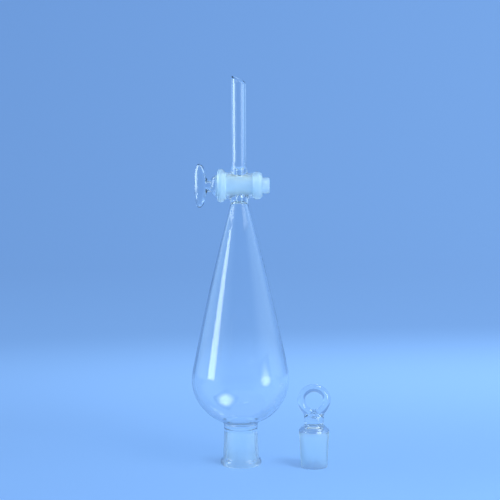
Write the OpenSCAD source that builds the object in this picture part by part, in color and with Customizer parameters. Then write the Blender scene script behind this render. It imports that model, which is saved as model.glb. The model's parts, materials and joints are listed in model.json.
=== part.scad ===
// A pear-shaped dropping funnel of clear glass, stood upside down on the rim of its ground
// socket, with its ring stopper stood beside it. Millimetres, +Z up. The origin is the centre
// of the socket's mouth, on the bench. The stopcock's axis runs along X, with the handle at -X.

/* [Ground joint] */
// Wide end of the 1:10 ground taper, which is the bore of the socket's mouth
joint_d = 24; // [23.5:0.1:24.5]
// Length of the ground taper, in the socket and on the stopper
joint_l = 29; // [27:0.5:31]

/* [Socket] */
// Outer diameter of the socket at its mouth
socket_d = 29; // [28:0.5:30]
// Outer diameter of the bead around the socket's mouth
rim_d = 33; // [32:0.5:34]
// Height of that bead
rim_h = 5.5; // [4.5:0.1:6]

/* [Bulb] */
// Widest diameter of the pear-shaped bulb
bulb_d = 77.4; // [74:0.2:80]
// Height of the widest part
bulb_z = 69; // [67:0.5:71]
// Depth of the bowl, from the widest part down
bowl_h = 37; // [36:0.5:38]
// Angle by which the bulb's wall leans in where the long flank begins
flank_angle = 11.3; // [10:0.1:12]
// Outer diameter of the bulb where it reaches the stopcock
bulb_top_d = 14.6; // [14:0.1:15.2]
// Height at which the bulb reaches the stopcock
bulb_top_z = 207.5; // [206:0.1:208]
// Thickness of the blown wall
bulb_wall = 1.8; // [1.5:0.1:2.2]

/* [Stopcock barrel] */
// Height of the stopcock's axis
cock_z = 223; // [222:0.1:224]
// Length of the barrel
barrel_l = 35.8; // [35:0.2:37]
// Distance that the barrel's middle sits off the funnel's axis, towards its narrow end
barrel_shift = 0.4; // [0:0.1:0.8]
// Outer diameter of the barrel at its wide end
barrel_wide_d = 21.8; // [21.4:0.1:22.2]
// Outer diameter of the barrel at its narrow end
barrel_narrow_d = 19.1; // [18.8:0.1:19.4]
// Outer diameter of the bead at the wide end
wide_bead_d = 26.3; // [25.5:0.1:27]
// Width of that bead
wide_bead_w = 6; // [5.5:0.1:6.5]
// Outer diameter of the bead at the narrow end, at its crest
narrow_bead_d = 21.8; // [21:0.1:22.6]
// Width of that bead, which rounds off into the barrel's end
narrow_bead_w = 7; // [6.5:0.1:7.5]
// Bore that the liquid runs through
bore_d = 4; // [3:0.1:4.5]

/* [Stopcock key] */
// Diameter of the ground key halfway along the barrel
key_d = 14.6; // [14.2:0.1:15]
// Thickness of the hollow key's wall
key_wall = 1.8; // [1.5:0.1:2]
// Outer diameter of the sealed-in tube that carries the bore across the key
bore_tube_d = 7; // [6:0.1:8]
// Gap between the key and the barrel's bore, measured on the radius
key_gap = 0.03; // [0.02:0.01:0.06]
// Length of the key beyond the narrow end of the barrel
key_tip_l = 5.7; // [4:0.1:8]
// Diameter of the neck between the key and its handle
key_neck_d = 9.5; // [9:0.1:9.6]
// Length of the turning handle, end to end
handle_l = 34.5; // [32:0.5:38]
// Thickness of the handle
handle_d = 9.6; // [9.6:0.1:11]
// Distance from the stopcock's centre to the handle's long axis
handle_x = 30.7; // [30:0.1:32]

/* [Stem] */
// Outer diameter of the drip tube
stem_d = 11; // [10.6:0.1:11.4]
// Bore of the drip tube
stem_bore_d = 7; // [6:0.1:7.4]
// Height of the drip tube's highest point
total_h = 309; // [290:1:330]
// Angle of the slanted tip, measured from level
tip_angle = 28.5; // [0:0.5:35]
// Turn of that slant about the tube's axis, from +X towards the front
tip_turn = 24; // [0:1:90]

/* [Stopper] */
// Distance from the funnel's axis to the stopper's axis, along X
stopper_x = 58; // [57:0.5:80]
// Distance that the stopper stands in front of the funnel's axis
stopper_front = 10.5; // [0:0.5:30]
// Diameter of the neck under the ring
stopper_neck_d = 15.4; // [14:0.1:16]
// Outer diameter of the finger ring
ring_d = 26.4; // [25:0.2:28]
// Diameter of the hole in the finger ring
ring_hole_d = 13.8; // [13:0.2:14.6]
// Height of the ring's highest point
ring_top_z = 66.2; // [65:0.2:67]
// Thickness of the stopper's wall
stopper_wall = 1.8; // [1.5:0.1:2.2]

/* [Hidden] */
$fn = 96;
clear_glass = [0.74, 0.86, 0.96, 0.55];
ground_glass = [0.90, 0.95, 0.99, 0.90];

// Radius that a 1:10 ground taper loses in each millimetre of its length
taper = 1 / 20;

// Ground joint and socket
joint_wide_r = joint_d / 2;
joint_narrow_r = joint_wide_r - joint_l * taper;
socket_r = socket_d / 2;
socket_top_r = socket_r - 1.1;
rim_bulge = 1.8;

// Bulb, and the neck that joins it to the socket
bulb_r = bulb_d / 2;
bulb_top_r = bulb_top_d / 2;
neck_top_r = 15.5;
bowl_start = -acos(neck_top_r / bulb_r);
neck_top_z = bulb_z + bowl_h * sin(bowl_start);
throat_r = joint_narrow_r + 0.5;
throat_start = -acos((throat_r + 1.5) / (bulb_r - bulb_wall));

// Stopcock, with places along X measured from its centre
barrel_wide_x = barrel_shift - barrel_l / 2;
barrel_narrow_x = barrel_shift + barrel_l / 2;
barrel_mid_r = (barrel_wide_d + barrel_narrow_d) / 4;
barrel_slope = (barrel_wide_d - barrel_narrow_d) / 2 / barrel_l;
bore_r = bore_d / 2;
narrow_round = 2;
narrow_edge_x = barrel_narrow_x - narrow_round;
key_wide_x = barrel_wide_x - 1.3;
key_narrow_x = barrel_narrow_x + 0.8;
key_tip_x = barrel_narrow_x + key_tip_l;
key_tip_round = 1.2;
key_neck_x = barrel_wide_x - 5;
key_neck_r = key_neck_d / 2;
key_neck_bore_r = key_neck_r - 2;
handle_wall = 1.5;
handle_power = 3;

// Flared welds that join the bulb and the stem to the barrel
inlet_waist_r = bulb_top_r - 0.4;
inlet_waist_z = bulb_top_z + 1.2;
inlet_flare_r = 8.2;
outlet_flare_r = 6.9;
stem_foot_z = cock_z + 20;
stem_r = stem_d / 2;
stem_bore_r = stem_bore_d / 2;

// Stopper
stopper_foot_round = 0.8;
stopper_neck_r = stopper_neck_d / 2;
stopper_neck_z = joint_l + 6;
stopper_neck_l = 4.5;
ring_rod_r = (ring_d - ring_hole_d) / 4;
ring_mid_r = (ring_d + ring_hole_d) / 4;
ring_z = ring_top_z - ring_d / 2;
ring_foot_z = ring_z - ring_mid_r;

// Radius of the ground socket's bore, and of its outside, at a height above its mouth
function joint_r(z) = joint_wide_r - z * taper;
function socket_out_r(z) = socket_r + (socket_top_r - socket_r) * z / joint_l;

// Radius of the barrel's outside, and of the key, at a place along X
function barrel_r(x) = barrel_mid_r - barrel_slope * (x - barrel_shift);
function key_r(x) = key_d / 2 - taper * x;

// Points on an elliptical arc about a centre, from one angle to another
function arc(centre, half, from, to, steps) = [
    for (i = [0 : steps])
        let (a = from + (to - from) * i / steps)
        centre + [half[0] * cos(a), half[1] * sin(a)]
];

// Points on a quadratic curve from p to r that leaves p towards q, without p itself
function curve(p, q, r, steps) = [
    for (i = [1 : steps])
        let (t = i / steps)
        p * (1 - t) * (1 - t) + q * 2 * t * (1 - t) + r * t * t
];

function reversed(list) = [for (i = [len(list) - 1 : -1 : 0]) list[i]];

// Outline of the bulb from an angle in the bowl up to the stopcock, set in by a thickness
function bulb_line(inset, from) =
    let (
        r = bulb_r - inset,
        shoulder = [r * cos(flank_angle), bulb_z + r * sin(flank_angle)],
        top = [bulb_top_r - inset, bulb_top_z],
        half_rise = (top[1] - shoulder[1]) / 2,
        bend = shoulder + half_rise * [-tan(flank_angle), 1]
    )
    concat(
        arc([0, bulb_z], [r, bowl_h - inset], from, 0, 20),
        arc([0, bulb_z], [r, r], flank_angle / 3, flank_angle, 2),
        curve(shoulder, bend, top, 12)
    );

// Outline of the rounded bead at the barrel's wide end
function wide_bead_line() =
    let (half = wide_bead_w / 2, mid = barrel_wide_x + half)
    [
        for (a = [-90 : 15 : 90])
            let (x = mid + half * sin(a))
            [barrel_r(x) + (wide_bead_d / 2 - barrel_r(mid)) * cos(a), x]
    ];

// Rounded outer edge of the barrel's narrow end, from one angle to another
function barrel_edge(from, to, steps) =
    arc(
        [barrel_r(narrow_edge_x) - narrow_round, narrow_edge_x],
        [narrow_round, narrow_round], from, to, steps
    );

// Outline of the bead at the barrel's narrow end, which follows that edge underneath
function narrow_bead_line() =
    let (
        start = barrel_narrow_x - narrow_bead_w,
        crest_x = start + 0.44 * narrow_bead_w,
        crest_r = narrow_bead_d / 2,
        start_r = barrel_r(start),
        end_r = barrel_r(narrow_edge_x) - narrow_round
    )
    concat(
        arc([start_r, crest_x], [crest_r - start_r, crest_x - start], -90, 0, 5),
        arc([end_r, crest_x], [crest_r - end_r, barrel_narrow_x - crest_x], 11.25, 90, 7),
        barrel_edge(75, 0, 5)
    );

// Outline of the handle, a blunt spindle about its long axis, set in by a thickness
function handle_line(inset) = [
    for (a = [-90 : 7.5 : 90])
        let (
            out = pow(max(cos(a), 0), 2 / handle_power),
            along = sign(a) * pow(abs(sin(a)), 2 / handle_power)
        )
        [(handle_d / 2 - inset) * out, (handle_l / 2 - inset) * along]
];

module revolve(points) {
    rotate_extrude() polygon(points);
}

// Lays a shape that stands on Z along the stopcock's axis, with its top towards +X
module on_cock() {
    translate([0, 0, cock_z]) rotate([0, 90, 0]) children();
}

module at_stopper() {
    translate([stopper_x, -stopper_front, 0]) children();
}

// The barrel's outside as a solid cone, which trims what is welded onto it
module barrel_outside() {
    on_cock() revolve(concat(
        [[0, barrel_wide_x], [barrel_wide_d / 2, barrel_wide_x]],
        barrel_edge(0, 90, 6),
        [[0, barrel_narrow_x]]
    ));
}

// The key's ground outside as a solid cone, grown by a gap
module key_outside(gap) {
    length = key_narrow_x - key_wide_x;
    on_cock() translate([0, 0, key_wide_x])
        cylinder(h = length, r1 = key_r(key_wide_x) + gap, r2 = key_r(key_narrow_x) + gap);
}

// An upright cylinder through the middle of the stopcock
module across_cock(r) {
    translate([0, 0, cock_z]) cylinder(h = barrel_wide_d + 4, r = r, center = true);
}

module handle_outside() {
    translate([-handle_x, 0, cock_z]) revolve(handle_line(0));
}

module ring_outside() {
    translate([0, 0, ring_z]) rotate([90, 0, 0])
        rotate_extrude() translate([ring_mid_r, 0]) circle(ring_rod_r);
}

// Fire-polished bead around the socket's mouth
module socket_rim() {
    color(clear_glass) revolve(concat(
        [[socket_out_r(rim_h), rim_h], [socket_out_r(0), 0]],
        arc([rim_d / 2 - rim_bulge, rim_h / 2], [rim_bulge, rim_h / 2], -90, 90, 12)
    ));
}

module ground_socket() {
    color(ground_glass) revolve([
        [joint_r(0), 0],
        [socket_out_r(0), 0],
        [socket_out_r(joint_l), joint_l],
        [joint_r(joint_l), joint_l]
    ]);
}

module socket_neck() {
    foot = [socket_top_r, joint_l + 2];
    corner = [socket_top_r, neck_top_z - 0.9];
    color(clear_glass) revolve(concat(
        [[joint_narrow_r, joint_l], [socket_top_r, joint_l], foot],
        curve(foot, corner, [neck_top_r, neck_top_z], 6),
        [[throat_r, neck_top_z], [throat_r, joint_l + 1.5]]
    ));
}

module pear_bulb() {
    color(clear_glass) revolve(concat(
        bulb_line(0, bowl_start),
        reversed(bulb_line(bulb_wall, throat_start)),
        [[throat_r, neck_top_z]]
    ));
}

// Flared weld between the bulb and the barrel
module inlet_weld() {
    waist = [inlet_waist_r, inlet_waist_z];
    flare_z = cock_z - barrel_mid_r + 0.4;
    color(clear_glass) difference() {
        revolve(concat(
            [[bulb_top_r - bulb_wall, bulb_top_z], [bulb_top_r, bulb_top_z], waist],
            curve(waist, [inlet_waist_r, flare_z - 1], [inlet_flare_r, flare_z], 6),
            [[inlet_flare_r, cock_z], [bore_r, cock_z], [bore_r, bulb_top_z + 3.5]]
        ));
        barrel_outside();
    }
}

module stopcock_barrel() {
    color(ground_glass) difference() {
        barrel_outside();
        key_outside(key_gap);
        across_cock(bore_r);
    }
}

module barrel_wide_bead() {
    color(clear_glass) on_cock() revolve(wide_bead_line());
}

module barrel_narrow_bead() {
    color(clear_glass) on_cock() revolve(narrow_bead_line());
}

// Flared weld between the barrel and the drip tube
module stem_weld() {
    foot = [stem_r, stem_foot_z];
    flare_z = cock_z + barrel_mid_r - 0.4;
    color(clear_glass) difference() {
        revolve(concat(
            [[stem_bore_r, stem_foot_z], foot],
            curve(foot, [stem_r + 0.25, flare_z + 6], [outlet_flare_r, flare_z], 8),
            [[outlet_flare_r, cock_z], [bore_r, cock_z], [bore_r, flare_z + 1.5]],
            [[stem_bore_r, flare_z + 4]]
        ));
        barrel_outside();
    }
}

// Drip tube with a slanted tip
module stem() {
    color(clear_glass) difference() {
        translate([0, 0, stem_foot_z]) cylinder(h = total_h - stem_foot_z, r = stem_r);
        translate([0, 0, stem_foot_z - 1]) cylinder(h = total_h, r = stem_bore_r);
        rotate([0, 0, -tip_turn]) translate([-stem_r, 0, total_h]) rotate([0, tip_angle, 0])
            translate([-stem_d, -stem_d, 0]) cube([4 * stem_d, 2 * stem_d, 2 * stem_d]);
    }
}

// Hollow ground cone that turns in the barrel
module key_cone() {
    color(ground_glass) difference() {
        on_cock() revolve([
            [key_r(key_wide_x) - key_wall, key_wide_x],
            [key_r(key_wide_x), key_wide_x],
            [key_r(key_narrow_x), key_narrow_x],
            [key_r(key_narrow_x) - key_wall, key_narrow_x]
        ]);
        across_cock(bore_tube_d / 2);
    }
}

// Tube sealed across the key, which lets the liquid through when the handle is upright
module key_bore_tube() {
    color(clear_glass) difference() {
        intersection() {
            across_cock(bore_tube_d / 2);
            key_outside(0);
        }
        across_cock(bore_r);
    }
}

// Closed narrow end of the key
module key_tip() {
    r = key_r(key_narrow_x);
    color(clear_glass) on_cock() revolve(concat(
        [[r - key_wall, key_narrow_x], [r, key_narrow_x]],
        arc([r - key_tip_round, key_tip_x - key_tip_round], [key_tip_round, key_tip_round], 0, 90, 4),
        [[0, key_tip_x], [0, key_tip_x - key_wall], [r - key_wall - 0.6, key_tip_x - key_wall]]
    ));
}

// Shoulder and neck between the ground cone and the handle
module key_neck() {
    edge = [key_r(key_wide_x), key_wide_x];
    neck = [key_neck_r, key_neck_x];
    color(clear_glass) difference() {
        on_cock() revolve(concat(
            [[key_neck_bore_r, -handle_x], [key_neck_r, -handle_x]],
            [neck],
            curve(neck, [edge[0], key_wide_x - 2.4], edge, 6),
            [[edge[0] - key_wall, key_wide_x], [key_neck_bore_r, key_neck_x + 1.5]]
        ));
        handle_outside();
    }
}

// Hollow handle that turns the key
module key_handle() {
    color(clear_glass) difference() {
        handle_outside();
        translate([-handle_x, 0, cock_z]) revolve(handle_line(handle_wall));
        translate([-handle_x, 0, cock_z]) rotate([0, 90, 0]) cylinder(h = handle_d, r = key_neck_bore_r);
    }
}

// Hollow ground cone of the stopper, closed at its foot
module stopper_cone() {
    edge = joint_narrow_r - stopper_foot_round;
    color(ground_glass) at_stopper() revolve(concat(
        [[0, 0]],
        arc([edge, stopper_foot_round], [stopper_foot_round, stopper_foot_round], -90, 0, 4),
        [[joint_wide_r, joint_l], [joint_wide_r - stopper_wall, joint_l]],
        [[edge - stopper_wall + 0.8, stopper_wall + 1], [edge - stopper_wall, stopper_wall]],
        [[0, stopper_wall]]
    ));
}

// Shoulder and solid neck that carry the finger ring
module stopper_neck() {
    edge = [joint_wide_r, joint_l];
    slope = [(joint_wide_r + stopper_neck_r) / 2, joint_l + 3.2];
    neck = [stopper_neck_r, stopper_neck_z];
    collar = [stopper_neck_r, stopper_neck_z + stopper_neck_l];
    crown = [ring_rod_r - 0.3, ring_foot_z + 0.2];
    color(clear_glass) at_stopper() difference() {
        revolve(concat(
            [[joint_wide_r - stopper_wall, joint_l], edge],
            curve(edge, [joint_wide_r, joint_l + 1.6], slope, 5),
            curve(slope, [stopper_neck_r, joint_l + 4.4], neck, 5),
            [collar],
            curve(collar, [stopper_neck_r, ring_foot_z - 0.8], crown, 6),
            [[0, crown[1]], [0, joint_l + 2.4], [joint_wide_r - stopper_wall - 2, joint_l + 1.6]]
        ));
        ring_outside();
    }
}

module stopper_ring() {
    color(clear_glass) at_stopper() ring_outside();
}

socket_rim();
ground_socket();
socket_neck();
pear_bulb();
inlet_weld();
stopcock_barrel();
barrel_wide_bead();
barrel_narrow_bead();
stem_weld();
stem();
key_cone();
key_bore_tube();
key_tip();
key_neck();
key_handle();
stopper_cone();
stopper_neck();
stopper_ring();
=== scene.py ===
"""A pear-shaped dropping funnel of clear glass, stood upside down, with its ring stopper beside it.

The CAD frame gives every place and outer size. Each of the three separate pieces of glass, which the
frame holds as welded sub-parts, is drawn here as one closed skin with its inner walls, so that
light bends through it as through real glass. Outlines are in millimetres.
"""

import json
import math

import bmesh
import bpy
from mathutils import Matrix, Vector

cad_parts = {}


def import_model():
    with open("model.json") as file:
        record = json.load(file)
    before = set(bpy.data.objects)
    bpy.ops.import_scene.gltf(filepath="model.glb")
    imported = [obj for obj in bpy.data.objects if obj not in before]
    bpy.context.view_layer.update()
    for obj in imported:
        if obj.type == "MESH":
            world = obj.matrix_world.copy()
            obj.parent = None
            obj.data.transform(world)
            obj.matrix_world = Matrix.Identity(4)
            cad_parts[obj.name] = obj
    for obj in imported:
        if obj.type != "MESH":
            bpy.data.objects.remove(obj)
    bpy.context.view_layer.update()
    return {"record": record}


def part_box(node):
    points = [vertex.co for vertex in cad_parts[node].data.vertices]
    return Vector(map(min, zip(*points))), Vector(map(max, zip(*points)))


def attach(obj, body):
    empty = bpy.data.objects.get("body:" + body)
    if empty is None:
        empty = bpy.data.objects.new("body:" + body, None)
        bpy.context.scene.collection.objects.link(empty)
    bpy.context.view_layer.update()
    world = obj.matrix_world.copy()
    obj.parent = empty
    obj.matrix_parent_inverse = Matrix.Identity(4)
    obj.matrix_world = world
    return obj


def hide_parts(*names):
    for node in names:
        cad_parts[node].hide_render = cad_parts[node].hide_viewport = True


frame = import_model()

MM = 0.001
WELD = 1e-6

# ---------------------------------------------------------------- sizes from the frame


def box_mm(node):
    """A CAD node's lowest and highest corners in millimetres."""
    low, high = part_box(node)
    return [v / MM for v in low], [v / MM for v in high]


_, rim_high = box_mm("socket_rim")
_, socket_high = box_mm("ground_socket")
bulb_low, bulb_high = box_mm("pear_bulb")
barrel_low, barrel_high = box_mm("stopcock_barrel")
wide_low, wide_high = box_mm("barrel_wide_bead")
narrow_low, narrow_high = box_mm("barrel_narrow_bead")
stem_low, stem_high = box_mm("stem")
cone_low, cone_high = box_mm("key_cone")
_, tube_high = box_mm("key_bore_tube")
_, tip_high = box_mm("key_tip")
handle_low, handle_high = box_mm("key_handle")
plug_low, plug_high = box_mm("stopper_cone")
ring_low, ring_high = box_mm("stopper_ring")

# A 1:10 ground cone loses this much radius in each millimetre
TAPER = 1 / 20
JOINT_R = 12.0
JOINT_TOP = socket_high[2]
GROUND_TOP = JOINT_TOP - 2
JOINT_END_R = JOINT_R - TAPER * JOINT_TOP
SOCKET_R = socket_high[0]
SOCKET_TOP_R = SOCKET_R - 1.1

BULB_R = bulb_high[0]
BULB_FOOT = bulb_low[2]
BULB_TOP = bulb_high[2]
BULB_TOP_R = 7.3
BULB_Z = 69.0
BOWL_H = 37.0
FLANK_ANGLE = 11.3
WALL = 1.8
THROAT_R = JOINT_END_R + 0.5

COCK_Z = (barrel_low[2] + barrel_high[2]) / 2
WIDE_X, NARROW_X = barrel_low[0], barrel_high[0]
BARREL_WIDE_R = barrel_high[1]
BARREL_NARROW_R = 9.55
NARROW_ROUND = 2.0
BORE_R = 2.0
KEY_R = 7.3
KEY_GAP = 0.03
KEY_WALL = 1.8
KEY_NECK_R = 4.75
TUBE_R = tube_high[0]
STEM_R = stem_high[0]
STEM_BORE_R = 3.5
STEM_FOOT = stem_low[2]
TIP_Z = stem_high[2]

PLUG_X = (plug_low[0] + plug_high[0]) / 2
PLUG_Y = (plug_low[1] + plug_high[1]) / 2
PLUG_R = (plug_high[0] - plug_low[0]) / 2
PLUG_TOP = plug_high[2]
CROWN_NECK_R = 7.7
RING_Z = (ring_low[2] + ring_high[2]) / 2
RING_ROD_R = (ring_high[1] - ring_low[1]) / 2
RING_MID_R = (ring_high[0] - ring_low[0]) / 2 - RING_ROD_R

# ---------------------------------------------------------------- outlines and rows of points

CLEAR, GROUND = 0, 1

# Points round every upright tube, and the same directions as steps across a quarter of them
AROUND = 128
TURNS = [2 * math.pi * i / AROUND for i in range(AROUND)]
QUARTER = [-math.pi / 4 + 2 * math.pi * i / AROUND for i in range(AROUND // 4 + 1)]


def spaced(start, span, steps):
    """Evenly spaced values over a span, both ends included."""
    return [start + span * i / steps for i in range(steps + 1)]


def arc(centre, half, start, end, steps):
    """Points on an elliptical arc, from one angle in degrees to another."""
    angles = [math.radians(a) for a in spaced(start, end - start, steps)]
    return [(centre[0] + half[0] * math.cos(a), centre[1] + half[1] * math.sin(a)) for a in angles]


def bend(p, q, r, steps):
    """Points on a quadratic curve from p to r that leaves p towards q. The points may have any length."""
    points = []
    for i in range(steps + 1):
        t = i / steps
        weights = ((1 - t) ** 2, 2 * t * (1 - t), t * t)
        points.append(tuple(sum(w * c for w, c in zip(weights, parts)) for parts in zip(p, q, r)))
    return points


def through(points, steps):
    """A smooth curve through a few points, with the given number of steps between each two."""
    ends = [points[0], *points, points[-1]]
    curve = [points[0]]
    for a, b, c, d in zip(ends, ends[1:], ends[2:], ends[3:]):
        for i in range(1, steps + 1):
            t = i / steps
            point = []
            for u, v, w, x in zip(a, b, c, d):
                square = 2 * u - 5 * v + 4 * w - x
                cube = 3 * v - u - 3 * w + x
                point.append(0.5 * (2 * v + (w - u) * t + square * t**2 + cube * t**3))
            curve.append(tuple(point))
    return curve


def turned(outline, x=0.0, y=0.0):
    """Rows of points made by turning an outline of (radius, height) about an upright axis."""
    return [[(x + r * math.cos(a), y + r * math.sin(a), z) for a in TURNS] for r, z in outline]


class Skin:
    """A surface, gathered as strips of faces and welded into one mesh at the end."""

    def __init__(self):
        self.points = []
        self.faces = []

    def strip(self, rows, slot, closed=True, flat=False):
        """Joins each row of points to the next one, with quads, or with triangles where flat is True."""
        first = len(self.points)
        count = len(rows[0])
        for row in rows:
            self.points.extend(row)
        for k in range(len(rows) - 1):
            for i in range(count if closed else count - 1):
                near, far = first + k * count, first + (k + 1) * count
                j = (i + 1) % count
                corners = (near + i, near + j, far + j, far + i)
                one, two, three, four = (self.points[c] for c in corners)
                # A quad is cut between its first and third corners, so the shorter way across goes there
                if math.dist(one, three) > math.dist(two, four):
                    corners = corners[1:] + corners[:1]
                if flat:
                    self.faces.append((corners[:3], slot))
                    self.faces.append((corners[2:] + corners[:1], slot))
                else:
                    self.faces.append((corners, slot))

    def add_to(self, mesh, hollow):
        """Adds the welded skin to a bmesh. A hollow's faces look into the hollow, away from the glass."""
        part = bmesh.new()
        verts = [part.verts.new([c * MM for c in p]) for p in self.points]
        for corners, slot in self.faces:
            face = part.faces.new([verts[i] for i in corners])
            face.material_index = slot
            face.smooth = True
        bmesh.ops.remove_doubles(part, verts=part.verts, dist=WELD)
        bmesh.ops.recalc_face_normals(part, faces=part.faces)
        if hollow:
            bmesh.ops.reverse_faces(part, faces=part.faces)
        scratch = bpy.data.meshes.new("scratch")
        part.to_mesh(scratch)
        part.free()
        mesh.from_mesh(scratch)
        bpy.data.meshes.remove(scratch)


# ---------------------------------------------------------------- cones that lie along X

# The stretch of each cone that holds its upright holes, as a half length and a half angle
PATCH_X = 10.4
PATCH_ANGLE = math.radians(72)
PATCH_RINGS = 14
# The patch's rings lie closer together near the hole, by this power
PATCH_CROWD = 1.3
SIDE_STEPS = 14
TOP = [PATCH_ANGLE * math.tan(q) for q in QUARTER]
SIDE = spaced(PATCH_ANGLE, math.pi - 2 * PATCH_ANGLE, SIDE_STEPS)
ROUND_X = TOP + SIDE[1:-1] + [math.pi - a for a in reversed(TOP)] + [-a for a in reversed(SIDE[1:-1])]


def barrel_r(x):
    return BARREL_WIDE_R - (BARREL_WIDE_R - BARREL_NARROW_R) * (x - WIDE_X) / (NARROW_X - WIDE_X)


def bore_cone_r(x):
    return KEY_R + KEY_GAP - TAPER * x


def key_r(x):
    return KEY_R - TAPER * x


def key_inner_r(x):
    return KEY_R - KEY_WALL - TAPER * x


def on_cone(radius, x, angle):
    """A point on a cone round the stopcock's axis. Angle 0 is straight up."""
    return (x, radius(x) * math.sin(angle), COCK_Z + radius(x) * math.cos(angle))


def turned_x(outline):
    """Rows of points made by turning an outline of (radius, x) about the stopcock's axis."""
    return [[(x, r * math.sin(a), COCK_Z + r * math.cos(a)) for a in ROUND_X] for r, x in outline]


def hole_place(radius, hole, turn):
    """Where an upright elliptical hole's edge meets a cone, as x and angle."""
    x = hole[0] * math.cos(turn)
    return x, math.asin(hole[1] * math.sin(turn) / radius(x))


def hole_edge(radius, hole, up):
    """The edge of an upright hole in a cone's top or bottom."""
    places = [hole_place(radius, hole, t) for t in TURNS]
    return [on_cone(radius, x, a if up else math.pi - a) for x, a in places]


def pierced(skin, radius, top_hole, bottom_hole, slot):
    """The middle stretch of a cone along X, with an upright hole in its top and in its bottom."""
    for hole, up in ((top_hole, True), (bottom_hole, False)):
        rows = []
        for k in range(PATCH_RINGS + 1):
            share = (k / PATCH_RINGS) ** PATCH_CROWD
            row = []
            for t in TURNS:
                x, a = hole_place(radius, hole, t)
                reach = max(abs(math.cos(t)), abs(math.sin(t)))
                x += (PATCH_X * math.cos(t) / reach - x) * share
                a += (PATCH_ANGLE * math.sin(t) / reach - a) * share
                row.append(on_cone(radius, x, a if up else math.pi - a))
            rows.append(row)
        skin.strip(rows, slot, flat=True)
    for side in (1, -1):
        rows = [[on_cone(radius, PATCH_X * math.tan(q), side * a) for a in SIDE] for q in QUARTER]
        skin.strip(rows, slot, closed=False)


def welded(radius, hole, up, tube_r, tube_z, steps=18):
    """Rows of a smooth weld from an upright tube's ring to a hole's edge in a cone."""
    sign = 1 if up else -1
    tube, corner, edge = [], [], hole_edge(radius, hole, up)
    for turn, (x, y, z) in zip(TURNS, edge):
        root = math.sqrt(radius(x) ** 2 - y * y)
        slope_x = sign * radius(x) * (radius(1) - radius(0)) / root
        slope_y = -sign * y / root
        tx, ty = tube_r * math.cos(turn), tube_r * math.sin(turn)
        tube.append((tx, ty, tube_z))
        corner.append((tx, ty, z + slope_x * (tx - x) + slope_y * (ty - y)))
    columns = [bend(p, q, r, steps) for p, q, r in zip(tube, corner, edge)]
    return [list(row) for row in zip(*columns)]


# ---------------------------------------------------------------- the funnel's body

INLET_R = 6.9
INLET_Z = BULB_TOP + 1.4
INLET_HOLE = (8.5, 8.0)
OUTLET_HOLE = (7.7, 7.2)
FLARE_R = 6.5
FLARE_Z = COCK_Z + 12.2
BORE_HOLE = (BORE_R, BORE_R)
RIM_BULGE = 1.8
EASE = 0.25
# The drip tube's cut falls towards +X and, by a turn about the tube's axis, towards the front
TIP_SLOPE = math.tan(math.radians(28.5))
TIP_TURN = math.radians(24)
TIP_REACH = 16


def bulb_line(inset, start):
    """The bulb's outline from an angle in the bowl up to the stopcock, set in by a thickness."""
    r = BULB_R - inset
    lean = math.radians(FLANK_ANGLE)
    shoulder = (r * math.cos(lean), BULB_Z + r * math.sin(lean))
    top = (BULB_TOP_R - inset, BULB_TOP)
    rise = (top[1] - shoulder[1]) / 2
    corner = (shoulder[0] - rise * math.tan(lean), shoulder[1] + rise)
    bowl = arc((0, BULB_Z), (r, BOWL_H - inset), start, 0, 34)
    waist = arc((0, BULB_Z), (r, r), 0, FLANK_ANGLE, 5)
    return bowl + waist[1:] + bend(shoulder, corner, top, 44)[1:]


def wide_bead():
    """The bead at the barrel's wide end, from its inner side to the end face, as (radius, x)."""
    half = (wide_high[0] - wide_low[0]) / 2
    middle = WIDE_X + half
    crest = wide_high[1] - barrel_r(middle)
    line = []
    for a in range(60, -91, -5):
        x = middle + half * math.sin(math.radians(a))
        line.append((barrel_r(x) + crest * math.cos(math.radians(a)), x))
    inner = wide_high[0]
    return bend((barrel_r(inner + 1.2), inner + 1.2), (barrel_r(inner), inner), line[0], 5) + line[1:]


def narrow_bead():
    """The bead at the barrel's narrow end, which rounds off into the end face, as (radius, x)."""
    start, crest_r = narrow_low[0], narrow_high[1]
    crest_x = start + 0.44 * (NARROW_X - start)
    end_r = barrel_r(NARROW_X - NARROW_ROUND) - NARROW_ROUND
    line = arc((barrel_r(start), crest_x), (crest_r - barrel_r(start), crest_x - start), -60, 0, 6)
    line += arc((end_r, crest_x), (crest_r - end_r, NARROW_X - crest_x), 0, 90, 12)[1:]
    return bend((barrel_r(start - 0.8), start - 0.8), (barrel_r(start), start), line[0], 4) + line[1:]


def slanted(r, share, lift):
    """A ring of the drip tube's tip, on the slanted cut where share is 1 and level where it is 0."""
    row = []
    middle = (STEM_R + STEM_BORE_R) / 2
    for t in TURNS:
        x, y = r * math.cos(t), r * math.sin(t)
        down = x * math.cos(TIP_TURN) - y * math.sin(TIP_TURN) + middle
        row.append((x, y, TIP_Z - lift - share * TIP_SLOPE * down))
    return row


def stem_tip():
    """Rows over the drip tube's fire-polished tip, from its outside to its bore."""
    middle = (STEM_R + STEM_BORE_R) / 2
    half = (STEM_R - STEM_BORE_R) / 2
    shares = (0, 0.3, 0.6, 0.85, 0.97, 1)
    outside = [slanted(STEM_R, share, TIP_REACH - (TIP_REACH - half) * share) for share in shares]
    lip = []
    for i in range(1, 8):
        a = math.pi * i / 8
        lip.append(slanted(middle + half * math.cos(a), 1, half * (1 - math.sin(a))))
    inside = [slanted(STEM_BORE_R, share, TIP_REACH - (TIP_REACH - half) * share) for share in shares]
    return outside + lip + inside[::-1]


# The radius at which the neck runs into the bulb, and how far the throat's lip reaches beyond it
NECK_MEETS_R = 15.5
THROAT_LIP = 1.5


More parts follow.
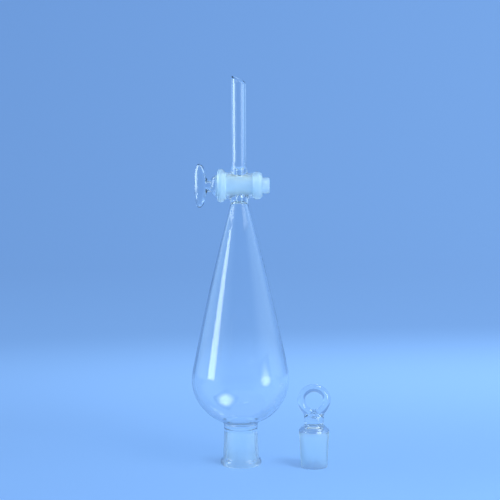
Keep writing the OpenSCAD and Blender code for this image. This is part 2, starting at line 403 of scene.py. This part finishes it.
def funnel_skin():
    skin = Skin()
    neck_start = -math.degrees(math.acos(NECK_MEETS_R / BULB_R))
    throat = -math.degrees(math.acos((THROAT_R + THROAT_LIP) / (BULB_R - WALL)))
    rim_r, rim_h = rim_high[0], rim_high[2]
    side_r = SOCKET_R + (SOCKET_TOP_R - SOCKET_R) * rim_h / JOINT_TOP

    # Outside: the rim, the socket, the neck and the bulb, up to the weld under the barrel
    rim = arc((rim_r - RIM_BULGE, rim_h / 2), (RIM_BULGE, rim_h / 2), -90, 70, 16)
    rim += bend(rim[-1], (side_r + 0.1, rim_h), (side_r - 0.05, rim_h + 1.4), 5)[1:]
    neck_foot = (SOCKET_TOP_R, JOINT_TOP + 2)
    bulb = bulb_line(0, neck_start)
    neck = bend(neck_foot, (SOCKET_TOP_R, BULB_FOOT - 0.9), bulb[0], 18)
    waist = bend((BULB_TOP_R, BULB_TOP), (INLET_R, BULB_TOP + 0.9), (INLET_R, INLET_Z), 4)
    mouth = [(JOINT_R + EASE, 0.0), (JOINT_R + 2 * EASE, 0.0)]
    sides = [(SOCKET_TOP_R, JOINT_TOP)]
    skin.strip(turned(mouth + rim + sides + neck + bulb[1:] + waist[1:]), CLEAR)
    skin.strip(welded(barrel_r, INLET_HOLE, False, INLET_R, INLET_Z), CLEAR)

    # Outside of the barrel, its two beads and its ends. The beads are as pale as a ground face
    pierced(skin, barrel_r, OUTLET_HOLE, INLET_HOLE, CLEAR)
    wide_mouth = [(bore_cone_r(WIDE_X) + EASE, WIDE_X), (bore_cone_r(WIDE_X), WIDE_X + EASE)]
    narrow_mouth = [(bore_cone_r(NARROW_X) + EASE, NARROW_X), (bore_cone_r(NARROW_X), NARROW_X - EASE)]
    skin.strip(turned_x([(barrel_r(-PATCH_X), -PATCH_X)] + wide_bead()[1:] + wide_mouth), GROUND)
    skin.strip(turned_x([(barrel_r(PATCH_X), PATCH_X)] + narrow_bead()[1:] + narrow_mouth), GROUND)

    # Ground bore of the barrel
    skin.strip(turned_x([wide_mouth[-1], (bore_cone_r(-PATCH_X), -PATCH_X)]), GROUND)
    pierced(skin, bore_cone_r, BORE_HOLE, BORE_HOLE, GROUND)
    skin.strip(turned_x([(bore_cone_r(PATCH_X), PATCH_X), narrow_mouth[-1]]), GROUND)

    # Up the bore and the drip tube, over its tip and down its outside
    bore_top = COCK_Z + barrel_r(0)
    flare_mid = ((BORE_R + STEM_BORE_R) / 2, bore_top + 2.6)
    up_bore = bend((BORE_R, bore_top + 0.6), (BORE_R, bore_top + 1.9), flare_mid, 12)
    up_bore += bend(flare_mid, (STEM_BORE_R, bore_top + 3.3), (STEM_BORE_R, bore_top + 4.8), 12)[1:]
    straight_end = TIP_Z - TIP_REACH
    bore_edge = hole_edge(bore_cone_r, BORE_HOLE, True)
    skin.strip([bore_edge] + turned(up_bore + [(STEM_BORE_R, straight_end)]), CLEAR)
    skin.strip(stem_tip(), CLEAR)
    flare = bend((STEM_R, STEM_FOOT), (STEM_R + 0.2, STEM_FOOT - 3.6), (FLARE_R, FLARE_Z), 16)
    skin.strip(turned([(STEM_R, straight_end)] + flare), CLEAR)
    skin.strip(welded(barrel_r, OUTLET_HOLE, True, FLARE_R, FLARE_Z), CLEAR)

    # Down the bore, the inside of the bulb and the neck, to the ground socket's mouth
    inner = bulb_line(WALL, throat)
    roof_mid = (3.6, BULB_TOP + 2.7)
    down_bore = bend((BORE_R, BULB_TOP + 5.1), (BORE_R, BULB_TOP + 3.3), roof_mid, 14)
    down_bore += bend(roof_mid, (inner[-1][0] - 0.4, BULB_TOP + 2.1), inner[-1], 14)[1:]
    lip = bend(inner[0], (THROAT_R, BULB_FOOT + 0.4), (THROAT_R, BULB_FOOT - 1.4), 18)
    step = bend((THROAT_R, JOINT_TOP + 1.6), (THROAT_R, JOINT_TOP + 0.6), (JOINT_END_R, JOINT_TOP), 8)
    inside = down_bore + inner[::-1][1:] + lip[1:] + step
    skin.strip([hole_edge(bore_cone_r, BORE_HOLE, False)] + turned(inside), CLEAR)
    edge = (JOINT_R - TAPER * GROUND_TOP, GROUND_TOP)
    skin.strip(turned([inside[-1], edge]), CLEAR)
    skin.strip(turned([edge, (JOINT_R - TAPER * EASE, EASE), (JOINT_R + EASE, 0.0)]), GROUND)
    return skin


# ---------------------------------------------------------------- the stopcock's key

TUBE_EDGE = (TUBE_R + 0.7, TUBE_R + 0.7)
TUBE_WELD = 1.2
KEY_NECK_X = WIDE_X - 5
NECK_BORE_R = KEY_NECK_R - 2
HANDLE_X = (handle_low[0] + handle_high[0]) / 2
HANDLE_H = (handle_high[2] - handle_low[2]) / 2
HANDLE_R = (handle_high[0] - handle_low[0]) / 2
HANDLE_WALL = 1.5
# The power of the blunt curve that the handle's outline follows
BLUNT = 3.0


def handle_rows(inset, neck_r):
    """Rows from the neck over the handle to its far side, set in by a thickness.

    Each station along X has a half height, a half width and the power of its outline, which is 2
    for an ellipse. The handle's long axis is upright.
    """
    long, wide = HANDLE_H - inset, HANDLE_R - inset
    far_side = []
    for degrees in range(80, -1, -4):
        a = math.radians(degrees)
        out = math.cos(a) ** (2 / BLUNT)
        x = HANDLE_X - wide * out
        half_w = wide * math.sqrt(max(1 - out * out, 0))
        far_side.append((x, long * math.sin(a) ** (2 / BLUNT), half_w, BLUNT))
    stations = [
        (HANDLE_X + 6.4 + inset / 2, neck_r, neck_r, 2.0),
        (HANDLE_X + 5.4 - inset / 2, neck_r * 1.14, neck_r, 2.1),
        (HANDLE_X + 4.2 - inset / 2, long * 0.52, (neck_r + wide) / 2, 2.4),
        (HANDLE_X + 2.6 - inset / 2, long * 0.83, wide, 2.8),
        (HANDLE_X + 0.6, long * 0.985, wide, BLUNT),
        far_side[0],
    ]
    rows = []
    for x, half_h, half_w, power in through(stations, 12) + far_side[1:]:
        row = []
        for a in ROUND_X:
            s, c = math.sin(a), math.cos(a)
            y = half_w * math.copysign(abs(s) ** (2 / power), s)
            row.append((x, y, COCK_Z + half_h * math.copysign(abs(c) ** (2 / power), c)))
        rows.append(row)
    return rows


def key_skin():
    """The key's outside, with the bore that runs through it."""
    skin = Skin()
    wide_x, narrow_x, tip_x = cone_low[0], cone_high[0], tip_high[0]
    tip_r = key_r(narrow_x)
    tip = arc((tip_r - 1.2, tip_x - 1.2), (1.2, 1.2), 0, 90, 8) + [(3.0, tip_x), (0.0, tip_x)]
    skin.strip(turned_x([(key_r(PATCH_X), PATCH_X), (tip_r, narrow_x)] + tip), GROUND)
    pierced(skin, key_r, BORE_HOLE, BORE_HOLE, GROUND)
    skin.strip([hole_edge(key_r, BORE_HOLE, True), hole_edge(key_r, BORE_HOLE, False)], CLEAR)
    edge = (key_r(wide_x), wide_x)
    skin.strip(turned_x([(key_r(-PATCH_X), -PATCH_X), edge]), GROUND)
    grip = handle_rows(0, KEY_NECK_R)
    shoulder = bend(edge, (edge[0], wide_x - 2.2), (KEY_NECK_R, KEY_NECK_X), 20)
    skin.strip(turned_x(shoulder + [(KEY_NECK_R, grip[0][0][0])]), CLEAR)
    skin.strip(grip, CLEAR)
    return skin


def key_hollow():
    """The sealed space in the key, its neck and its handle, round the tube that carries the bore."""
    skin = Skin()
    wide_x, narrow_x, tip_x = cone_low[0], cone_high[0], tip_high[0]
    inner_r = key_inner_r(narrow_x)
    tip = bend((inner_r, narrow_x), (inner_r, tip_x - KEY_WALL), (inner_r - 2.4, tip_x - KEY_WALL), 8)
    skin.strip(turned_x([(key_inner_r(PATCH_X), PATCH_X)] + tip + [(0.0, tip_x - KEY_WALL)]), CLEAR)
    pierced(skin, key_inner_r, TUBE_EDGE, TUBE_EDGE, CLEAR)
    reach = key_inner_r(0) - TUBE_WELD
    skin.strip(welded(key_inner_r, TUBE_EDGE, True, TUBE_R, COCK_Z + reach), CLEAR)
    skin.strip(turned([(TUBE_R, COCK_Z + reach), (TUBE_R, COCK_Z - reach)]), CLEAR)
    skin.strip(welded(key_inner_r, TUBE_EDGE, False, TUBE_R, COCK_Z - reach), CLEAR)
    edge = (key_inner_r(wide_x), wide_x)
    grip = handle_rows(HANDLE_WALL, NECK_BORE_R)
    shoulder = bend(edge, (edge[0], wide_x - 2.0), (NECK_BORE_R, KEY_NECK_X + 0.4), 20)
    start, end = (key_inner_r(-PATCH_X), -PATCH_X), (NECK_BORE_R, grip[0][0][0])
    skin.strip(turned_x([start] + shoulder + [end]), CLEAR)
    skin.strip(grip, CLEAR)
    return skin


# ---------------------------------------------------------------- the stopper

# Where the crown meets the ring: half angles round the ring and round its rod
ROOT_U, ROOT_V = math.radians(42), math.radians(95)
RING_PATCH_U, RING_PATCH_V = math.radians(54), math.radians(128)
RING_STEPS, ROD_STEPS = 88, 20


def on_ring(u, v):
    """A point on the finger ring: u runs round the ring from its foot, v round the rod from outside."""
    reach = RING_MID_R + RING_ROD_R * math.cos(v)
    return (PLUG_X + reach * math.sin(u), PLUG_Y + RING_ROD_R * math.sin(v), RING_Z - reach * math.cos(u))


def ring_patch():
    """Rows on the ring from the crown's joint outwards to the edge of the patch round it."""
    rows = []
    for k in range(9):
        share = k / 8
        row = []
        for t in TURNS:
            c, s = math.cos(t), math.sin(t)
            reach = max(abs(c), abs(s))
            u = ROOT_U * c + (RING_PATCH_U * c / reach - ROOT_U * c) * share
            v = ROOT_V * s + (RING_PATCH_V * s / reach - ROOT_V * s) * share
            row.append(on_ring(u, v))
        rows.append(row)
    return rows


def crown_rows(foot_z):
    """Rows from the neck's ring up over the crown and into the finger ring."""
    rise = 2.6
    columns = []
    for t, (x, y, z) in zip(TURNS, ring_patch()[0]):
        c, s = math.cos(t), math.sin(t)
        u, v = ROOT_U * c, ROOT_V * s
        ahead = on_ring(u + 0.01 * ROOT_U * c, v + 0.01 * ROOT_V * s)
        way = (Vector(ahead) - Vector((x, y, z))).normalized()
        foot = Vector((PLUG_X + CROWN_NECK_R * c, PLUG_Y + CROWN_NECK_R * s, foot_z))
        end = Vector((x, y, z))
        first, second = foot + Vector((0, 0, rise)), end - way * 1.5
        column = []
        for i in range(29):
            k = i / 28
            point = foot * (1 - k) ** 3 + first * 3 * k * (1 - k) ** 2
            point = point + second * 3 * k * k * (1 - k) + end * k**3
            column.append(tuple(point))
        columns.append(column)
    return [list(row) for row in zip(*columns)]


def stopper_skin():
    skin = Skin()
    foot_r = PLUG_R - TAPER * PLUG_TOP
    foot = [(0.0, 0.0), (4.0, 0.0)] + arc((foot_r - 0.8, 0.8), (0.8, 0.8), -90, 0, 7)
    skin.strip(turned(foot, PLUG_X, PLUG_Y), CLEAR)
    skin.strip(turned([foot[-1], (PLUG_R, PLUG_TOP)], PLUG_X, PLUG_Y), GROUND)
    slope = ((PLUG_R + CROWN_NECK_R) / 2, PLUG_TOP + 3.2)
    neck_foot = (CROWN_NECK_R, PLUG_TOP + 6)
    shoulder = bend((PLUG_R, PLUG_TOP), (PLUG_R, PLUG_TOP + 1.6), slope, 16)
    shoulder += bend(slope, (CROWN_NECK_R, PLUG_TOP + 4.4), neck_foot, 16)[1:]
    crown_z = PLUG_TOP + 9.4
    skin.strip(turned(shoulder + [(CROWN_NECK_R, crown_z)], PLUG_X, PLUG_Y), CLEAR)
    skin.strip(crown_rows(crown_z), CLEAR)
    skin.strip(ring_patch(), CLEAR)
    # The rest of the ring: the far side of the rod beside the patch, then the whole rod
    inner_v = spaced(RING_PATCH_V, 2 * math.pi - 2 * RING_PATCH_V, ROD_STEPS)
    beside = [[on_ring(RING_PATCH_U * math.tan(q), v) for v in inner_v] for q in QUARTER]
    skin.strip(beside, CLEAR, closed=False)
    whole_v = [RING_PATCH_V * math.tan(q) for q in QUARTER] + inner_v[1:-1]
    turns = spaced(RING_PATCH_U, 2 * math.pi - 2 * RING_PATCH_U, RING_STEPS)
    skin.strip([[on_ring(u, v) for v in whole_v] for u in turns], CLEAR)
    return skin


def stopper_hollow():
    """The sealed space inside the stopper's cone."""
    skin = Skin()
    foot_r = PLUG_R - TAPER * PLUG_TOP - WALL
    floor = [(0.0, WALL), (foot_r - 1.6, WALL)]
    floor += bend((foot_r - 1.6, WALL), (foot_r - 0.05, WALL), (foot_r, WALL + 1.6), 6)[1:]
    roof_r = PLUG_R - WALL
    roof = bend((roof_r, PLUG_TOP - 4), (roof_r, PLUG_TOP + 2.6), (0.0, PLUG_TOP + 2.6), 32)
    skin.strip(turned(floor + roof, PLUG_X, PLUG_Y), CLEAR)
    return skin


# ---------------------------------------------------------------- materials

GLASS_IOR = 1.474
# Roughness of a ground face, from its smoothest to its roughest patches
GROUND_ROUGH = (0.30, 0.48)
# What shadow rays keep through one wall of clear glass and one ground face
CLEAR_SHADE = (0.90, 0.93, 0.95)
GROUND_SHADE = (0.2, 0.25, 0.32)
# The backdrop's colour at full strength, and the lamps' slightly cold white
BACKDROP = (0.235, 0.44, 0.76)
COLD = (0.78, 0.95, 1.0)
# The sweep's paler sides: their colour, how much brighter they are, and where they start and end
PALE = (0.55, 0.82, 1.0)
SIDE_GLOW = 0.5
LEFT_SIDE = (1.1, 2.6)
RIGHT_SIDE = (1.7, 2.8)
# The sweep's glow from its left to its right, and the dimming towards its front, over these metres
WASH_X, WASH = (-1.2, 1.2), (0.45, 0.67)
FRONT_Y, FRONT = (-2.2, -0.6), (0.8, 1)
# The pool of light behind the object: its middle and half lengths in metres, and its strength
POOL_X, POOL_Y = 0.5, 0.45
POOL_HALF_X, POOL_HALF_Y = 1.3, 0.5
POOL_GLOW = 0.4


def shader_tree(name):
    material = bpy.data.materials.new(name)
    material.use_nodes = True
    tree = material.node_tree
    return material, tree, tree.nodes["Principled BSDF"]


def lets_lamps_through(tree, glass, colour):
    """Mixes in a plain tint for shadow rays, so that lamps light what stands behind the glass."""
    path = tree.nodes.new("ShaderNodeLightPath")
    tint = tree.nodes.new("ShaderNodeBsdfTransparent")
    tint.inputs["Color"].default_value = (*colour, 1)
    mix = tree.nodes.new("ShaderNodeMixShader")
    tree.links.new(path.outputs["Is Shadow Ray"], mix.inputs[0])
    tree.links.new(glass.outputs["BSDF"], mix.inputs[1])
    tree.links.new(tint.outputs["BSDF"], mix.inputs[2])
    tree.links.new(mix.outputs[0], tree.nodes["Material Output"].inputs["Surface"])


def ranged(tree, value, given, wanted, curve):
    """Maps a value from one range to another, clamped at both ends."""
    spread = tree.nodes.new("ShaderNodeMapRange")
    spread.interpolation_type = curve
    for socket, number in zip(("From Min", "From Max", "To Min", "To Max"), (*given, *wanted)):
        spread.inputs[socket].default_value = number
    tree.links.new(value, spread.inputs["Value"])
    return spread.outputs["Result"]


def noise(tree, scale, detail, stretch=(1, 1, 1)):
    """Noise over the object's own coordinates, in features per metre."""
    place = tree.nodes.new("ShaderNodeTexCoord")
    mapping = tree.nodes.new("ShaderNodeMapping")
    mapping.inputs["Scale"].default_value = stretch
    texture = tree.nodes.new("ShaderNodeTexNoise")
    texture.inputs["Scale"].default_value = scale
    texture.inputs["Detail"].default_value = detail
    tree.links.new(place.outputs["Object"], mapping.inputs["Vector"])
    tree.links.new(mapping.outputs["Vector"], texture.inputs["Vector"])
    return texture.outputs["Fac"]


def bumped(tree, shader, height, strength, distance):
    bump = tree.nodes.new("ShaderNodeBump")
    bump.inputs["Strength"].default_value = strength
    bump.inputs["Distance"].default_value = distance
    tree.links.new(height, bump.inputs["Height"])
    tree.links.new(bump.outputs["Normal"], shader.inputs["Normal"])


def clear_glass():
    """Blown and drawn borosilicate glass: clear, with the faint waves that the flame leaves."""
    material, tree, glass = shader_tree("clear_glass")
    glass.inputs["Base Color"].default_value = (0.985, 0.993, 1.0, 1)
    glass.inputs["Roughness"].default_value = 0.0
    glass.inputs["IOR"].default_value = GLASS_IOR
    glass.inputs["Transmission Weight"].default_value = 1.0
    bumped(tree, glass, noise(tree, 45, 1.0, (1, 1, 0.4)), 0.06, 0.002)
    lets_lamps_through(tree, glass, CLEAR_SHADE)
    return material


def ground_glass():
    """A ground face: finely frosted, with a fine grain and smoother and rougher patches."""
    material, tree, glass = shader_tree("ground_glass")
    glass.inputs["Base Color"].default_value = (0.88, 0.98, 1.0, 1)
    glass.inputs["IOR"].default_value = GLASS_IOR
    glass.inputs["Transmission Weight"].default_value = 0.9
    patchy = ranged(tree, noise(tree, 160, 3.0), (0, 1), GROUND_ROUGH, "LINEAR")
    tree.links.new(patchy, glass.inputs["Roughness"])
    bumped(tree, glass, noise(tree, 2600, 2.0), 0.12, 0.0002)
    lets_lamps_through(tree, glass, GROUND_SHADE)
    return material


def calculated(tree, operation, *values):
    """The result of a Math node on sockets and numbers."""
    node = tree.nodes.new("ShaderNodeMath")
    node.operation = operation
    for socket, value in zip(node.inputs, values):
        if isinstance(value, (int, float)):
            socket.default_value = value
        else:
            tree.links.new(value, socket)
    return node.outputs[0]


def along(tree):
    """Sockets for a point's place along the object's own X, Y and Z, in metres."""
    place = tree.nodes.new("ShaderNodeTexCoord")
    parts = tree.nodes.new("ShaderNodeSeparateXYZ")
    tree.links.new(place.outputs["Object"], parts.inputs[0])
    return parts.outputs


def stage_material():
    """A pale blue sweep that glows a little, paler at its sides, with a pool of light on the right."""
    material, tree, paper = shader_tree("sweep")
    paper.inputs["Base Color"].default_value = (0.10, 0.18, 0.35, 1)
    paper.inputs["Roughness"].default_value = 0.9
    paper.inputs["Specular IOR Level"].default_value = 0.1
    x, y, _ = along(tree)
    wash = ranged(tree, x, WASH_X, WASH, "LINEAR")
    left = ranged(tree, calculated(tree, "MULTIPLY", x, -1), LEFT_SIDE, (0, 1), "SMOOTHSTEP")
    right = ranged(tree, x, RIGHT_SIDE, (0, 1), "SMOOTHSTEP")
    side = calculated(tree, "ADD", left, right)
    front = ranged(tree, y, FRONT_Y, FRONT, "SMOOTHSTEP")
    across = calculated(tree, "MULTIPLY_ADD", x, 1 / POOL_HALF_X, -POOL_X / POOL_HALF_X)
    deep = calculated(tree, "MULTIPLY_ADD", y, 1 / POOL_HALF_Y, -POOL_Y / POOL_HALF_Y)
    squares = [calculated(tree, "POWER", calculated(tree, "ABSOLUTE", v), 2) for v in (across, deep)]
    reach = calculated(tree, "SQRT", calculated(tree, "ADD", *squares))
    pool = ranged(tree, reach, (0, 1), (POOL_GLOW, 0), "SMOOTHSTEP")
    glow = calculated(tree, "MULTIPLY_ADD", side, SIDE_GLOW, wash)
    glow = calculated(tree, "MULTIPLY_ADD", glow, front, pool)
    tint = tree.nodes.new("ShaderNodeMix")
    tint.data_type = "RGBA"
    first, second = [socket for socket in tint.inputs if socket.type == "RGBA"]
    first.default_value = (*BACKDROP, 1)
    second.default_value = (*PALE, 1)
    mixed = next(socket for socket in tint.outputs if socket.type == "RGBA")
    tree.links.new(side, tint.inputs[0])
    tree.links.new(mixed, paper.inputs["Emission Color"])
    tree.links.new(glow, paper.inputs["Emission Strength"])
    return material


def glow_material(name, size, radiance, soft, oval):
    """Light that fades out towards the edges of a panel, over the given shares of its half sizes."""
    material = bpy.data.materials.new(name)
    material.use_nodes = True
    tree = material.node_tree
    tree.nodes.clear()
    light = tree.nodes.new("ShaderNodeEmission")
    light.inputs["Color"].default_value = (*COLD, 1)
    out = tree.nodes.new("ShaderNodeOutputMaterial")
    x, y, _ = along(tree)
    shares = [calculated(tree, "MULTIPLY", v, 2 / (length * MM)) for v, length in zip((x, y), size)]
    if oval:
        squares = [calculated(tree, "MULTIPLY", v, v) for v in shares]
        out_by = [(calculated(tree, "SQRT", calculated(tree, "ADD", *squares)), soft[0])]
    else:
        out_by = [(calculated(tree, "ABSOLUTE", v), share) for v, share in zip(shares, soft)]
    strength = radiance
    for value, share in out_by:
        fade = ranged(tree, value, (1 - share, 1), (1, 0), "SMOOTHSTEP")
        strength = calculated(tree, "MULTIPLY", fade, strength)
    tree.links.new(strength, light.inputs["Strength"])
    tree.links.new(light.outputs[0], out.inputs["Surface"])
    return material


# ---------------------------------------------------------------- the three pieces of glass

CREASE = math.radians(38)


def piece(name, skins, materials, body, nodes):
    """A glass piece made of an outer skin and any sealed hollows, standing for its CAD nodes."""
    shape = bmesh.new()
    for skin, hollow in skins:
        skin.add_to(shape, hollow)
    for edge in shape.edges:
        if len(edge.link_faces) == 2 and edge.calc_face_angle() > CREASE:
            edge.smooth = False
    mesh = bpy.data.meshes.new(name)
    shape.to_mesh(mesh)
    shape.free()
    for material in materials:
        mesh.materials.append(material)
    made = bpy.data.objects.new(name, mesh)
    bpy.context.scene.collection.objects.link(made)
    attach(made, body)
    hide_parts(*nodes)
    return made


bodies = frame["record"]["behaviour"]["bodies"]
glass = [clear_glass(), ground_glass()]
piece("funnel_glass", [(funnel_skin(), False)], glass, "funnel", bodies["funnel"])
piece("key_glass", [(key_skin(), False), (key_hollow(), True)], glass, "key", bodies["key"])
piece(
    "stopper_glass",
    [(stopper_skin(), False), (stopper_hollow(), True)],
    glass,
    "stopper",
    bodies["stopper"],
)

# ---------------------------------------------------------------- stage, light and camera

SWEEP_FLAT = 1900
SWEEP_CURVE = 900
SWEEP_TOP = 2600
CAMERA_PLACE = (8.2, -1100, 245)
CAMERA_LENS = 100.2
CAMERA_DOWN = 3.8
CAMERA_ROLL = -0.35
SKY = (0.50, 0.75, 1.0)
SKY_STRENGTH = 0.9
BOUNCES = 24
BRIGHTEST_BOUNCE = 6.0


def sweep():
    """A round seamless floor that curves up into a wall far behind the object on every side."""
    outline = [(r, 0.0) for r in (0.0, 200.0, 500.0, 1000.0)]
    outline += arc((SWEEP_FLAT, SWEEP_CURVE), (SWEEP_CURVE, SWEEP_CURVE), -90, 0, 24)
    outline.append((SWEEP_FLAT + SWEEP_CURVE, SWEEP_TOP))
    skin = Skin()
    skin.strip(turned(outline), CLEAR)
    shape = bmesh.new()
    skin.add_to(shape, True)
    mesh = bpy.data.meshes.new("sweep")
    shape.to_mesh(mesh)
    shape.free()
    mesh.materials.append(stage_material())
    made = bpy.data.objects.new("sweep", mesh)
    bpy.context.scene.collection.objects.link(made)


def aimed(made, place, target):
    """Puts a lamp or panel at a place in millimetres, turned towards a target."""
    made.location = [c * MM for c in place]
    made.rotation_mode = "QUATERNION"
    made.rotation_quaternion = (Vector(target) - Vector(place)).to_track_quat("-Z", "Y")
    made.visible_camera = False
    bpy.context.scene.collection.objects.link(made)


def softbox(name, place, target, size, power):
    """A square lamp that lights every matt or frosted surface and isn't seen itself."""
    light = bpy.data.lights.new(name, "AREA")
    light.size = size * MM
    light.energy = power
    light.color = COLD
    lamp = bpy.data.objects.new(name, light)
    lamp.visible_glossy = False
    lamp.visible_transmission = False
    aimed(lamp, place, target)


def panel(name, place, target, size, radiance, soft, oval=False, through=False):
    """A panel of light with soft edges that shows only in the glass: reflected, and where asked through it.

    A soft share of 1 fades all the way from the middle of the panel to its edge. An oval panel has
    one such share and fades in rings.
    """
    half = [length * MM / 2 for length in size]
    corners = [(x * half[0], y * half[1], 0) for x, y in ((-1, -1), (1, -1), (1, 1), (-1, 1))]
    mesh = bpy.data.meshes.new(name)
    mesh.from_pydata(corners, [], [(0, 1, 2, 3)])
    mesh.materials.append(glow_material(name, size, radiance, soft, oval))
    made = bpy.data.objects.new(name, mesh)
    made.visible_diffuse = False
    made.visible_shadow = False
    made.visible_transmission = through
    aimed(made, place, target)


def camera():
    """A little above the stopcock, just over a metre in front, looking slightly down."""
    lens = bpy.data.cameras.new("camera")
    lens.lens = CAMERA_LENS
    lens.sensor_width = 36.0
    lens.clip_start = 0.05
    lens.clip_end = 20.0
    made = bpy.data.objects.new("camera", lens)
    place = Matrix.Translation([c * MM for c in CAMERA_PLACE])
    tilt = Matrix.Rotation(math.radians(90 - CAMERA_DOWN), 4, "X")
    roll = Matrix.Rotation(math.radians(CAMERA_ROLL), 4, "Z")
    made.matrix_world = place @ tilt @ roll
    bpy.context.scene.collection.objects.link(made)
    bpy.context.scene.camera = made


def world():
    sky = bpy.data.worlds.new("world")
    sky.use_nodes = True
    glow = sky.node_tree.nodes["Background"]
    glow.inputs["Color"].default_value = (*SKY, 1)
    glow.inputs["Strength"].default_value = SKY_STRENGTH
    bpy.context.scene.world = sky


sweep()
# Each panel: its place and target in millimetres, its width and height, its radiance and its soft shares
panel("left_strip", (-620, -200, 335), (0, 0, 335), (300, 510), 10.8, (0.5, 0.1))
panel("right_spot", (148, -100, 76), (18, -30, 76), (100, 90), 9.5, (0.7,), oval=True)
panel("overhead", (447, -106, 810), (0, 20, 50), (930, 640), 8.5, (0.9,), oval=True, through=True)
panel("window", (-438, -899, 390), (0, 0, 150), (36, 100), 1.5, (0.6, 0.6))
panel("stem_right", (54, -45, 270), (0, 0, 266), (60, 112), 3.2, (0.35, 0.15))
panel("stem_left", (-70, -3, 270), (0, 0, 266), (66, 112), 6.5, (0.35, 0.15))
# Each softbox: its place and target, its side and its power in watts
softbox("key_box", (440, -480, 680), (40, 0, 0), 300, 8.5)
softbox("barrel_box", (30, -110, 190), (0, 0, 223), 60, 0.17)
world()
camera()

scene = bpy.context.scene
scene.view_settings.view_transform = "Standard"
scene.cycles.max_bounces = BOUNCES
scene.cycles.transmission_bounces = BOUNCES
scene.cycles.transparent_max_bounces = BOUNCES
scene.cycles.caustics_refractive = True
scene.cycles.caustics_reflective = True
scene.cycles.sample_clamp_indirect = BRIGHTEST_BOUNCE
